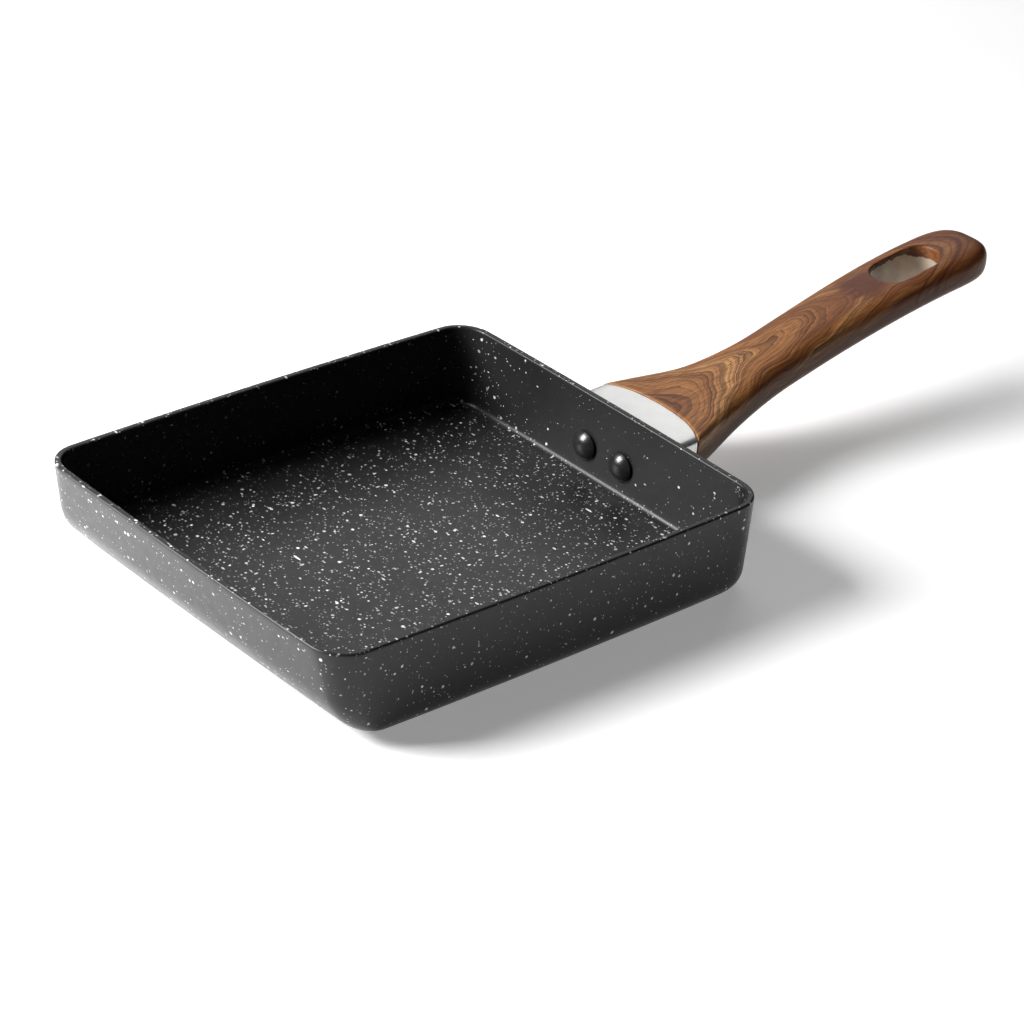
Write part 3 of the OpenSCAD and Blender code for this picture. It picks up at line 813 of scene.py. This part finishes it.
# painted highlight: the thin bevel along the joint is painted a lighter gold
from_centre = node(tree, "VectorMath", {0: where, 1: (-joint_centre * mm, 0, 0)}, operation="ADD").outputs[0]
flat = node(tree, "VectorMath", {0: from_centre, 1: (1, 1, 0)}, operation="MULTIPLY").outputs[0]
reached = node(tree, "VectorMath", {0: flat}, operation="LENGTH").outputs["Value"]
behind = figure(tree, "SUBTRACT", reached, joint_radius * mm)
painted_bevel_light = spread(tree, behind, 0.9 * mm, 0.4 * mm, 0.0, 0.3)
ground = mix(tree, painted_bevel_light, ground, bevel_highlight_gold)
# the bare moulding inside the hole, beyond the film's torn edge
skin_height, film_depth, film_ragged = 6.6, 1.7, 1.6
toward_tip = spread(tree, place_x, hole_x + 4, hole_x + 13, 0.0, 2.4)
film = figure(tree, "ADD", figure(tree, "ADD", toward_tip, film_depth),
              centred(noise(tree, place(tree, where, scale=(1, 1, 0.4)), 420, 4, 0.65), film_ragged))
down_hole = figure(tree, "SUBTRACT", skin_height, figure(tree, "ABSOLUTE", place_z))
bare_depth = figure(tree, "SUBTRACT", down_hole, film)
bare_depth = figure(tree, "ADD", bare_depth, spread(tree, place_z, 0.5, -1.5, 0.0, 4.0))
from_hole = figure(tree, "ABSOLUTE", figure(tree, "SUBTRACT", place_x, hole_x))
in_hole = figure(tree, "MULTIPLY", figure(tree, "LESS_THAN", from_hole, hole_half),
                 figure(tree, "LESS_THAN", figure(tree, "ABSOLUTE", place_y), hole_radius + 0.8))
facing = node(tree, "SeparateXYZ", {0: node(tree, "TexCoord").outputs["Normal"]}).outputs["Z"]
in_hole = figure(tree, "MULTIPLY", in_hole, spread(tree, figure(tree, "ABSOLUTE", facing), 0.75, 0.45))
bare = figure(tree, "MULTIPLY", spread(tree, bare_depth, 0.0, 0.3), in_hole)
# painted shade: the print just above the film's edge inside the hole is darkened, less toward the tip
hole_mouth_shade = figure(tree, "MULTIPLY", spread(tree, bare_depth, -1.5, -0.2), in_hole)
hole_mouth_shade = figure(tree, "MULTIPLY", hole_mouth_shade, spread(tree, place_x, hole_x + 3, hole_x + 12, 0.85, 0.1))
ground = mix(tree, hole_mouth_shade, ground, hole_shade_brown)
moulding = colours(tree, noise(tree, where, 160, 4), (0.3, (0.30, 0.235, 0.18)), (0.7, (0.42, 0.345, 0.27)))
tree.links.new(mix(tree, bare, ground, moulding), shader.inputs["Base Color"])
sheen = spread(tree, hair, 0.3, 0.7, 0.36, 0.48, "LINEAR")
sheen = figure(tree, "SUBTRACT", sheen, figure(tree, "MULTIPLY", bare, 0.1))
tree.links.new(sheen, shader.inputs["Roughness"])
relief = figure(tree, "ADD", figure(tree, "MULTIPLY", hair, 0.3), figure(tree, "MULTIPLY", bare, -1.0))
tree.links.new(bump(tree, relief, 0.04), shader.inputs["Normal"])
shader.inputs["Specular IOR Level"].default_value = 0.25
grip.data.materials.append(wood)
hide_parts("handle_grip")
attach(grip, "root")

# The handle screw and its two washers. Plated steel, turned and pressed, fitted from below into
# the grip's counterbore and tightened into the tang.
for names, colour, roughness in ((("handle_screw",), (0.60, 0.60, 0.62), 0.24),
                                 (("spring_washer", "flat_washer"), (0.46, 0.46, 0.46), 0.38)):
    plated, tree, shader = finish("plated_steel_" + names[0])
    where = node(tree, "TexCoord").outputs["Object"]
    tarnish = noise(tree, where, 700, 4)
    dull = tuple(share * 0.8 for share in colour)
    tree.links.new(colours(tree, tarnish, (0.3, dull), (0.7, colour)), shader.inputs["Base Color"])
    satin = spread(tree, tarnish, 0.3, 0.7, roughness, roughness + 0.12, "LINEAR")
    tree.links.new(satin, shader.inputs["Roughness"])
    tree.links.new(bump(tree, tarnish, 0.008), shader.inputs["Normal"])
    shader.inputs["Metallic"].default_value = 1.0
    for name in names:
        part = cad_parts[name]
        part.data.materials.clear()
        part.data.materials.append(plated)

# The studio. A pale table a hair below the pan, and a pale surround. A large soft light stands on
# the left, a wider faint one beyond the pan, and a small one over the table on the left. The camera
# stands at the photograph's angle.
table_gap = 0.05
table = start("table", bpy.ops.mesh.primitive_plane_add, size=6.0, location=(0, 0, -table_gap * mm))
bpy.ops.object.mode_set(mode="OBJECT")
paper, tree, shader = finish("pale_paper")
where = node(tree, "TexCoord").outputs["Object"]
tree.links.new(colours(tree, noise(tree, where, 30, 3), (0.3, (0.90, 0.90, 0.90)), (0.7, (0.92, 0.92, 0.92))),
               shader.inputs["Base Color"])
shader.inputs["Roughness"].default_value = 0.9
shader.inputs["Emission Color"].default_value = (1, 1, 1, 1)
shader.inputs["Emission Strength"].default_value = 0.28
table.data.materials.append(paper)

world = bpy.data.worlds.new("surround")
world.use_nodes = True
tree = world.node_tree
toward = node(tree, "TexCoord").outputs["Generated"]
beyond = node(tree, "VectorMath", {0: toward, 1: (-0.2, 0.95, 0.2)},
              operation="DOT_PRODUCT").outputs["Value"]
tree.links.new(spread(tree, beyond, -0.1, 0.5, 0.10, 1.0), tree.nodes["Background"].inputs["Strength"])
bpy.context.scene.world = world


def softbox(name, place_mm, aim_mm, size, power, spread_angle=180):
    """A square area light at a place, aimed at a point"""
    light = bpy.data.lights.new(name, "AREA")
    light.shape, light.size = "SQUARE", size * mm
    light.energy, light.spread = power, radians(spread_angle)
    lamp = bpy.data.objects.new(name, light)
    lamp.location = Vector(place_mm) * mm
    lamp.rotation_euler = (Vector(aim_mm) - Vector(place_mm)).to_track_quat("-Z", "Y").to_euler()
    bpy.context.collection.objects.link(lamp)


softbox("key", (-660, 440, 560), (40, 0, 20), 480, 24)
softbox("beyond", (600, 620, 680), (30, 0, 20), 800, 2.3)
softbox("pool", (-260, 130, 300), (-150, 110, 0), 160, 0.24, 64)

azimuth, elevation, roll, distance = radians(-43.91), radians(29.45), radians(5.3), 1179.62
target = Vector((37.52, -10.87, 14.5))
film_width, picture_pixels, focal_pixels = 36, 1024, 3607.95
back = Vector((sin(azimuth) * cos(elevation), -cos(azimuth) * cos(elevation), sin(elevation)))
right = Vector((cos(azimuth), sin(azimuth), 0))
up = back.cross(right)
right, up = right * cos(roll) + up * sin(roll), up * cos(roll) - right * sin(roll)
eye = bpy.data.cameras.new("camera")
eye.sensor_width, eye.lens = film_width, focal_pixels * film_width / picture_pixels
eye.clip_start, eye.clip_end = 0.05, 20
camera = bpy.data.objects.new("camera", eye)
turned = Matrix((right, up, back)).transposed().to_4x4()
camera.matrix_world = Matrix.Translation((target + back * distance) * mm) @ turned
bpy.context.collection.objects.link(camera)
bpy.context.scene.camera = camera
bpy.context.scene.view_settings.view_transform = "Standard"
